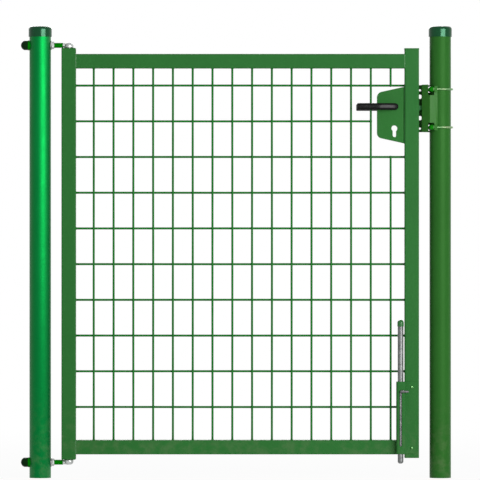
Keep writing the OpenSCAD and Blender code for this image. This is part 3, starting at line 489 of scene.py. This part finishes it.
def weld_nubs(centres, across, deep, sides=12):
    """Squeezed-out metal where two wires cross: a cushion of radius across * sin(t), depth deep * cos(t)."""
    t = np.linspace(0, np.pi, 7)
    angle = TURN * np.arange(sides) / sides
    grid = np.stack(
        np.broadcast_arrays(
            across * np.sin(t)[:, None] * np.cos(angle),
            deep * np.cos(t)[:, None],
            across * np.sin(t)[:, None] * np.sin(angle),
        ),
        -1,
    )
    return np.asarray(centres)[:, None, None] + grid


def end_welds(points, inward, sides=14):
    """Small flared beads where a wire meets the tube: the radius falls from the tube along a hollow curve."""
    share = np.linspace(0, 1, 6)
    profile = np.stack([WIRE_R * (0.9 + 0.85 * (1 - share) ** 2.2), 0.0042 * share - 0.0004], 1)
    profile = np.vstack([[0, -0.0004], profile, [0, 0.0038]])
    return np.stack([turned(profile, p, d, sides) for p, d in zip(points, inward)])


# The last upright stops above and below the lock box, and one cross wire stops before it.
lock_top = cross_z[STOPPED_CROSS - 1] - WIRE_R
lock_bottom = cross_z[STOPPED_CROSS + 1] + WIRE_R
lock_left = upright_x[STOPPED_UPRIGHT - 1] + WIRE_R
upright_tops = np.where(np.arange(UPRIGHTS) == STOPPED_UPRIGHT, lock_bottom, mesh_high.z)
cross_tips = np.where(np.arange(CROSSES) == STOPPED_CROSS, lock_left, mesh_high.x)
up_starts = [(x, front_y, mesh_low.z) for x in upright_x]
up_ends = [(x, front_y, z) for x, z in zip(upright_x, upright_tops)]
short_start = [(upright_x[STOPPED_UPRIGHT], front_y, lock_top)]
short_end = [(upright_x[STOPPED_UPRIGHT], front_y, mesh_high.z)]
cross_starts = [(mesh_low.x, back_y, z) for z in cross_z]
cross_ends = [(x, back_y, z) for x, z in zip(cross_tips, cross_z)]
crossings = [
    (x, (front_y + back_y) / 2, z)
    for i, x in enumerate(upright_x)
    for j, z in enumerate(cross_z)
    if (i, j) != (STOPPED_UPRIGHT, STOPPED_CROSS)
]
tube_ends = (
    [((x, front_y, mesh_low.z), (0, 0, 1)) for x in upright_x]
    + [((x, front_y, mesh_high.z), (0, 0, -1)) for x in upright_x]
    + [((mesh_low.x, back_y, z), (1, 0, 0)) for z in cross_z]
    + [((mesh_high.x, back_y, z), (-1, 0, 0)) for j, z in enumerate(cross_z) if j != STOPPED_CROSS]
)
piece(
    "mesh_wires",
    [
        wires(up_starts, up_ends, 90),
        wires(short_start, short_end, 8),
        wires(cross_starts, cross_ends, 80),
        weld_nubs(crossings, NUB_R, NUB_DEPTH),
        end_welds(*zip(*tube_ends)),
    ],
    FINISHES["wire"],
    "leaf",
    ["mesh_panel"],
)


# ---- welds of the leaf ----


def tube_outline(x, low, high, corner, count):
    """Closed line round a square tube's outside in the plane of x: a square with round corners, by equal
    steps of its angle, each point at the corner's centre plus the corner radius."""
    angle = TURN * (np.arange(count) + 0.5) / count
    half = np.array([(high.y - low.y) / 2 - corner, (high.z - low.z) / 2 - corner])
    middle = np.array([(high.y + low.y) / 2, (high.z + low.z) / 2])
    ray = np.stack([np.cos(angle), np.sin(angle)], 1)
    reach = (half + corner) / np.abs(ray)
    on_square = ray * reach.min(axis=1)[:, None]
    centre = np.clip(on_square, -half, half)
    out = on_square - centre
    size = np.linalg.norm(out, axis=1, keepdims=True)
    rounded = centre + corner * out / np.maximum(size, 1e-9)
    flat = rounded + middle
    return np.column_stack([np.full(count, x), flat])


BEAD_R, BEAD_SIDES, RIPPLE_STEP = 0.0017, 10, 0.0021


def bead(path, sink, middle):
    """Weld bead on a closed path: a round sweep, sunk towards the middle line, with the radius
    BEAD_R * (1 + 0.05 * |sin(pi * length / RIPPLE_STEP)|)."""
    path = np.asarray(path, float)
    inward = np.asarray(middle) - path
    inward[:, 0] = 0
    inward /= np.linalg.norm(inward, axis=1, keepdims=True)
    step = np.linalg.norm(np.roll(path, -1, 0) - path, axis=1)
    length = np.cumsum(step)
    ripple = BEAD_R * (1 + 0.05 * np.abs(np.sin(np.pi * length / RIPPLE_STEP)))
    grid = round_sweep(path + inward * sink, ripple[:, None], BEAD_SIDES, (1, 0, 0), closed=True)
    return np.concatenate([grid, grid[:1]])


RAIL_CORNER_R, RAIL_SINK = 0.003, 0.0013
BOX_CORNER_R, BOX_SINK, BOX_BEVEL = 0.001, 0.0006, 0.003
beads = []
for rail in ("top_rail", "bottom_rail"):
    low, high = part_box(rail)
    for x in (low.x, high.x):
        beads.append(bead(tube_outline(x, low, high, RAIL_CORNER_R, 360), RAIL_SINK, (low + high) / 2))
bevel = Vector((0, BOX_BEVEL, 0))
outline = tube_outline(box_high.x, box_low + bevel, box_high - bevel, BOX_CORNER_R, 420)
beads.append(bead(outline, BOX_SINK, (box_low + box_high) / 2))
piece("leaf_welds", beads, FINISHES["weld"], "leaf")


# ---- levers ----

LEVER_HALF_T = 0.0045
OVAL = 3.2
TIP_R, HUB_END_R = 0.003, 0.005
ARC_START, ARC_R = 0.046, 0.110
HUB_WAIST, HUB_TOP_IN, FOOT_EDGE = 0.0078, 0.0135, 0.0004


def rounded_share(distance, radius):
    """How full a form is at a distance from its rounded end: sqrt(1 - (1 - distance / radius) ** 2), which
    rises as a circle does from 0 at the end to 1 at the radius, and stays 1 past it."""
    return np.sqrt(1 - np.clip(1 - distance / radius, 0, 1) ** 2)


def lever_arm(axis_x, axis_z, low, high, side):
    """Arm of a lever: an oval section, |u| ** OVAL + |v| ** OVAL = 1, carried along a line that is straight
    over the grip and bends back towards the hub on an arc of ARC_R. The section closes along a circle at
    both ends."""
    x = np.concatenate([
        low.x + TIP_R * (1 - np.cos(np.linspace(0, np.pi / 2, 8))),
        np.linspace(low.x + TIP_R + 0.001, axis_x, 60),
        axis_x + (high.x - axis_x) * np.sin(np.linspace(0.06, np.pi / 2, 16)),
    ])
    past = np.clip(x - (axis_x - ARC_START), 0, None)
    front = max(abs(low.y), abs(high.y))
    y = front - LEVER_HALF_T - (ARC_R - np.sqrt(ARC_R**2 - past**2))
    path = np.stack([x, side * y, np.full(x.size, axis_z)], 1)
    _, out, up = square_axes(path, (0, 0, -side))
    tip = rounded_share(x - low.x, TIP_R)
    deep = LEVER_HALF_T * tip * rounded_share(high.x - x, HUB_END_R)
    tall = (high.z - low.z) / 2 * (1 - 0.3 * (1 - tip)) * rounded_share(high.x - x, high.x - axis_x)
    angle = TURN * np.arange(48) / 48
    u = np.sign(np.cos(angle)) * np.abs(np.cos(angle)) ** (2 / OVAL)
    v = np.sign(np.sin(angle)) * np.abs(np.sin(angle)) ** (2 / OVAL)
    across = (deep[:, None] * u)[..., None] * out[:, None]
    upward = (tall[:, None] * v)[..., None] * up[:, None]
    return path[:, None] + across + upward


def lever_hub(axis_x, axis_z, low, high, side):
    """Hub of a lever: a turned form with a full foot, a waist that goes in and out again with sin ** 2 of the
    height, and a flare into the arm."""
    near, far = min(abs(low.y), abs(high.y)), max(abs(low.y), abs(high.y))
    radius = (high.z - low.z) / 2
    share = np.linspace(0, 1, 24)
    waist = radius - (radius - HUB_WAIST) * np.sin(np.pi * np.clip((share - 0.18) / 0.82, 0, 1)) ** 2
    height = near + (far - HUB_TOP_IN - near) * share
    foot = [[0, near], [radius - FOOT_EDGE, near], [radius, near + FOOT_EDGE]]
    profile = np.vstack([foot, np.stack([waist, height], 1)[2:], [0, height[-1]]])
    return turned(profile, (axis_x, 0, axis_z), (0, side, 0), 48)


for lever, side in (("front_lever", -1), ("rear_lever", 1)):
    low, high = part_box(lever)
    axis_z = (low.z + high.z) / 2
    axis_x = high.x - (high.z - low.z) / 2
    grids = [lever_arm(axis_x, axis_z, low, high, side), lever_hub(axis_x, axis_z, low, high, side)]
    piece(f"{lever}_form", grids, FINISHES["lever"], "lever", [lever])


# ---- folded sheets and the lock box with eased edges ----

# The cover's corner has its outer line on the box's edge and its inner line a sheet's thickness in.
COVER_T, COVER_BEND = 0.002, 0.005
cover_low, cover_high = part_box("drop_bolt_cover")
eased("drop_bolt_cover_sheet", "drop_bolt_cover", FINISHES["leaf"], "leaf", [
    (cover_low.x, cover_low.y, 0.0011, COVER_BEND),
    (cover_low.x + COVER_T, cover_low.y + COVER_T, 0.0001, COVER_BEND - COVER_T),
])
eased("lock_box_shell", "lock_box", FINISHES["lock_box"], "leaf")
eased("keep_sheet", "keep_bracket", FINISHES["keep"], "posts")
eased("closing_stop_plate", "closing_stop", FINISHES["keep"], "posts")


# ---- screws ----


SCREW_R, SCREW_RISE, SCREW_SINK = 0.0042, 0.0026, 0.0002
SCREW_FROM_EDGE, SCREW_FROM_END = 0.014, 0.016


def pan_head(centre, axis, radius, height, sides=48):
    """Pan head with a cross recess: height * (1 - share ** 4) ** 0.5 on a grid of radius and angle, less a
    recess that is deepest in the middle and runs out along the four arms of the cross."""
    share = np.concatenate([[0], np.linspace(0.04, 1, 22)])
    angle = TURN * np.arange(sides) / sides
    x, y = radius * share[:, None] * np.cos(angle), radius * share[:, None] * np.sin(angle)
    arm = np.minimum(np.abs(x), np.abs(y))
    reach = np.hypot(x, y)
    inside = np.clip(1 - (arm / (0.15 * radius)) ** 4, 0, 1)
    inside = inside * np.clip((0.62 * radius - reach) / (0.12 * radius), 0, 1)
    dome = height * np.sqrt(np.clip(1 - share[:, None] ** 4, 0, 1)) + 0 * angle
    z = np.maximum(dome - inside * height * (0.75 - 0.45 * reach / radius), 0)
    axis = np.asarray(axis, float)
    reference = (0, 0, 1) if abs(axis[2]) < 0.9 else (1, 0, 0)
    side = np.cross(axis, reference)
    up = np.cross(axis, side)
    top = np.asarray(centre) + x[..., None] * side + y[..., None] * up + z[..., None] * axis
    foot = np.broadcast_to(np.asarray(centre) - SCREW_SINK * axis, top[:1].shape)
    rim = top[-1:] - SCREW_SINK * axis
    return np.concatenate([top, rim, foot])


flange_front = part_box("latch_stile")[0].y - COVER_T
screw_x = cover_high.x - SCREW_FROM_EDGE
screw_heights = (cover_low.z + SCREW_FROM_END, cover_high.z - SCREW_FROM_END)
piece(
    "cover_screws",
    [pan_head((screw_x, flange_front, z), (0, -1, 0), SCREW_R, SCREW_RISE) for z in screw_heights],
    FINISHES["u_bolt"],
    "leaf",
)


# ---- floor, light and camera ----

FLOOR_NEAR, FLOOR_FAR = 1.2, 5.5
FLOOR_NEAR_WHITE = 0.94
FILL = 0.3
# Each lamp: its name, place, width, height and watts.
LAMPS = [
    ("key", (3.74, -5.54, 1.35), 5.0, 1.5, 350),
    ("back", (0.2, 5.0, 2.6), 2.4, 2.0, 120),
]
VIEW_CENTRE = (0.5594, 0.0, 0.6656)
VIEW_AWAY = 14.0
VIEW_WIDE = 1.344
FILM_WIDE = 36


def seen_share(nodes, links):
    """1 for a ray from the eye, a reflection or clear stuff, and 0 for the rays that carry light."""
    path = nodes.new("ShaderNodeLightPath")
    share = path.outputs["Is Camera Ray"]
    for ray in ("Is Glossy Ray", "Is Transmission Ray"):
        either = nodes.new("ShaderNodeMath")
        either.operation = "MAXIMUM"
        links.new(share, either.inputs[0])
        links.new(path.outputs[ray], either.inputs[1])
        share = either.outputs[0]
    return share


def mixed_into(nodes, links, share, first, second, output):
    """first where share is 0 and second where it is 1, led to the Surface of an output node."""
    mixed = nodes.new("ShaderNodeMixShader")
    for number, given in enumerate((share, first.outputs[0], second.outputs[0])):
        links.new(given, mixed.inputs[number])
    links.new(mixed.outputs[0], nodes.new(output).inputs["Surface"])


def pale_floor():
    """Pale ground that shows white to the eye and in reflections. Near the gate a share of the plain surface
    shows through it, so the shadow is kept, and the share falls smoothly to nothing at FLOOR_FAR."""
    made = bpy.data.materials.new("pale_floor")
    made.use_nodes = True
    nodes, links = made.node_tree.nodes, made.node_tree.links
    nodes.clear()
    plain = nodes.new("ShaderNodeBsdfDiffuse")
    plain.inputs["Color"].default_value = (0.9, 0.9, 0.9, 1)
    bright = nodes.new("ShaderNodeEmission")
    bright.inputs["Color"].default_value = (1, 1, 1, 1)
    place = nodes.new("ShaderNodeTexCoord")
    reach = nodes.new("ShaderNodeVectorMath")
    reach.operation = "LENGTH"
    links.new(place.outputs["Object"], reach.inputs[0])
    ramp = nodes.new("ShaderNodeMapRange")
    ramp.interpolation_type = "SMOOTHSTEP"
    links.new(reach.outputs["Value"], ramp.inputs[0])
    for number, value in enumerate((FLOOR_NEAR, FLOOR_FAR, FLOOR_NEAR_WHITE, 1.0), 1):
        ramp.inputs[number].default_value = value
    share = nodes.new("ShaderNodeMath")
    share.operation = "MULTIPLY"
    links.new(seen_share(nodes, links), share.inputs[0])
    links.new(ramp.outputs["Result"], share.inputs[1])
    mixed_into(nodes, links, share.outputs[0], plain, bright, "ShaderNodeOutputMaterial")
    return made


mesh = bpy.data.meshes.new("floor")
mesh.from_pydata([(-30, -30, 0), (31, -30, 0), (31, 30, 0), (-30, 30, 0)], [], [(0, 1, 2, 3)])
floor = bpy.data.objects.new("floor", mesh)
floor.data.materials.append(pale_floor())
bpy.context.scene.collection.objects.link(floor)
floor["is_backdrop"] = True

scene = bpy.context.scene
scene.view_settings.view_transform = "Standard"
world = bpy.data.worlds.new("studio")
scene.world = world
world.use_nodes = True
nodes, links = world.node_tree.nodes, world.node_tree.links
nodes.clear()
soft = nodes.new("ShaderNodeBackground")
soft.inputs["Color"].default_value = (1, 1, 1, 1)
soft.inputs["Strength"].default_value = FILL
white = nodes.new("ShaderNodeBackground")
white.inputs["Color"].default_value = (1, 1, 1, 1)
white.inputs["Strength"].default_value = 1.0
mixed_into(nodes, links, seen_share(nodes, links), soft, white, "ShaderNodeOutputWorld")


def softbox(name, place, towards, wide, high, watts):
    """A rectangular lamp that faces a point."""
    lamp = bpy.data.lights.new(name, "AREA")
    lamp.shape = "RECTANGLE"
    lamp.size = wide
    lamp.size_y = high
    lamp.energy = watts
    made = bpy.data.objects.new(name, lamp)
    made.location = place
    facing = Vector(towards) - Vector(place)
    made.rotation_euler = facing.to_track_quat("-Z", "Y").to_euler()
    scene.collection.objects.link(made)


centre = (cad_low + cad_high) / 2
for name, place, wide, high, watts in LAMPS:
    softbox(name, place, centre, wide, high, watts)

camera = bpy.data.cameras.new("camera")
camera.sensor_width = FILM_WIDE
camera.lens = FILM_WIDE * VIEW_AWAY / VIEW_WIDE
camera.clip_end = 100
eye = bpy.data.objects.new("camera", camera)
eye.location = (VIEW_CENTRE[0], -VIEW_AWAY, VIEW_CENTRE[2])
eye.rotation_euler = (np.pi / 2, 0, 0)
scene.collection.objects.link(eye)
scene.camera = eye

low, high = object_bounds()
